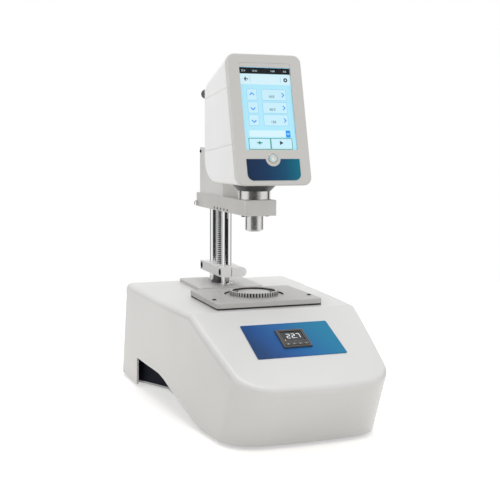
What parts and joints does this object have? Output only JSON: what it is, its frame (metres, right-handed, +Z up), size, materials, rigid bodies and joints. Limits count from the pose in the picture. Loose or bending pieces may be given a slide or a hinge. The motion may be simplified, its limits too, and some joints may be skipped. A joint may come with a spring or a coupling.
{
  "type": "cone and plate rheometer",
  "caption": "Benchtop rheometer with a sloping white base, a heated measuring plate under a toothed ring, and a touch-screen measuring head that a lead screw lifts on chrome columns",
  "frame": {"origin": "on the table, under the spindle's axis, which is the middle of the width; half way along the base cover's length", "axes": "+X to the instrument's right seen from behind the operator, +Y to the back, +Z up"},
  "size_m": [0.3506, 0.5993, 0.6168],
  "materials": {
    "white_paint": "fine satin paint",
    "head_front_paint": "fine satin paint",
    "satin_aluminium": "bead blasted and anodised",
    "dark_metal": "black coated",
    "bright_chrome": "polished",
    "brushed_metal": "brushed",
    "screw_steel": "turned, oiled",
    "black_screw": "black oxide",
    "galvanised": "galvanised sheet",
    "tray_grey": "satin paint",
    "liner_black": "matt",
    "rubber_black": "matt",
    "panel_blue": "printed foil",
    "label_blue": "printed foil",
    "case_grey": "fine texture",
    "black_plastic": "fine texture",
    "screen_glass": "gloss",
    "display_cyan": "lit display",
    "dark_window": "gloss",
    "key_grey": "satin",
    "brass": "machined",
    "board_green": "solder mask",
    "copper_brown": "varnished windings",
    "gold_ring": "polished"
  },
  "bodies": {
    "base": {"base_cover": "white_paint", "bottom_tray": "tray_grey", "rubber_feet": "rubber_black", "arch_liners": "liner_black", "chassis_frame": "galvanised", "plate_gasket": "rubber_black", "stage_plate": "satin_aluminium", "measuring_plate": "brushed_metal", "heater_block": "brass", "heat_sink": "satin_aluminium", "column_plate": "satin_aluminium", "guide_columns": "bright_chrome", "column_collars": "bright_chrome", "clamp_block": "satin_aluminium", "clamp_screws": "screw_steel", "screw_bearing": "dark_metal", "lift_motor": "dark_metal", "control_panel": "panel_blue", "controller_body": "case_grey", "controller_bezel": "case_grey", "controller_window": "dark_window", "rear_panel": "tray_grey", "rear_sockets": "black_plastic", "fan_frame": "black_plastic", "fan_guard": "screw_steel", "plate_screws": "screw_steel", "power_supply": "galvanised", "control_board": "board_green"},
    "lift_carriage": {"lift_arm": "satin_aluminium", "column_bushings": "brass", "lift_nut": "brass", "head_bracket": "satin_aluminium", "arm_screws": "black_screw", "neck_ring": "bright_chrome", "neck_flange": "dark_metal", "nose_sleeve": "brushed_metal", "spindle_bearings": "screw_steel", "motor_stator": "copper_brown", "head_front": "head_front_paint", "head_lower_cover": "white_paint", "head_middle_cover": "white_paint", "head_top_cover": "white_paint", "touch_glass": "screen_glass", "display_module": "display_cyan", "head_board": "board_green", "label_plate": "label_blue", "button_ring": "gold_ring", "probe_socket": "black_plastic"},
    "lead_screw": {"lead_screw": "screw_steel"},
    "spindle": {"spindle": "screw_steel"},
    "power_button": {"power_button": "bright_chrome"},
    "key_set": {"key_set": "key_grey"},
    "key_left": {"key_left": "key_grey"},
    "key_down": {"key_down": "key_grey"},
    "key_up": {"key_up": "key_grey"},
    "plate_ring": {"plate_ring": "satin_aluminium"},
    "mains_rocker": {"mains_rocker": "black_plastic"},
    "fan_wheel": {"fan_rotor": "black_plastic"},
    "lock_knob": {"lock_knob": "bright_chrome"}
  },
  "joints": [
    {"name": "lift_slide", "type": "slide", "parent": "base", "child": "lift_carriage", "axis": [0, 0, 1], "range_m": [-0.09, 0]},
    {"name": "screw_spin", "type": "hinge", "parent": "base", "child": "lead_screw", "pos_m": [0, 0.1895, 0.25], "axis": [0, 0, 1], "continuous": true},
    {"name": "spindle_spin", "type": "hinge", "parent": "lift_carriage", "child": "spindle", "pos_m": [0, 0, 0.35], "axis": [0, 0, 1], "continuous": true},
    {"name": "power_button_press", "type": "slide", "parent": "lift_carriage", "child": "power_button", "axis": [0, 0.9646, -0.2639], "range_m": [0, 0.0015], "stiffness_N_per_m": 400},
    {"name": "key_set_press", "type": "slide", "parent": "base", "child": "key_set", "axis": [0, 0.3875, -0.9219], "range_m": [0, 0.0006], "stiffness_N_per_m": 300},
    {"name": "key_left_press", "type": "slide", "parent": "base", "child": "key_left", "axis": [0, 0.3875, -0.9219], "range_m": [0, 0.0006], "stiffness_N_per_m": 300},
    {"name": "key_down_press", "type": "slide", "parent": "base", "child": "key_down", "axis": [0, 0.3875, -0.9219], "range_m": [0, 0.0006], "stiffness_N_per_m": 300},
    {"name": "key_up_press", "type": "slide", "parent": "base", "child": "key_up", "axis": [0, 0.3875, -0.9219], "range_m": [0, 0.0006], "stiffness_N_per_m": 300},
    {"name": "ring_turn", "type": "hinge", "parent": "base", "child": "plate_ring", "pos_m": [0, 0, 0.2], "axis": [0, 0, 1], "range_deg": [0, 30]},
    {"name": "rocker_tilt", "type": "hinge", "parent": "base", "child": "mains_rocker", "pos_m": [0.066, 0.28295, 0.085], "axis": [1, 0, 0], "range_deg": [-16, 0]},
    {"name": "fan_spin", "type": "hinge", "parent": "base", "child": "fan_wheel", "pos_m": [-0.062, 0.28015, 0.07057], "axis": [0, 0.9929, 0.1194], "continuous": true},
    {"name": "knob_turn", "type": "hinge", "parent": "lift_carriage", "child": "lock_knob", "pos_m": [-0.0294, 0.247, 0.3478], "axis": [-1, 0, 0], "range_deg": [0, 180]}
  ],
  "couplings": [
    {"joint": "screw_spin", "follows": "lift_slide", "rad_per_m": -1570.8}
  ]
}
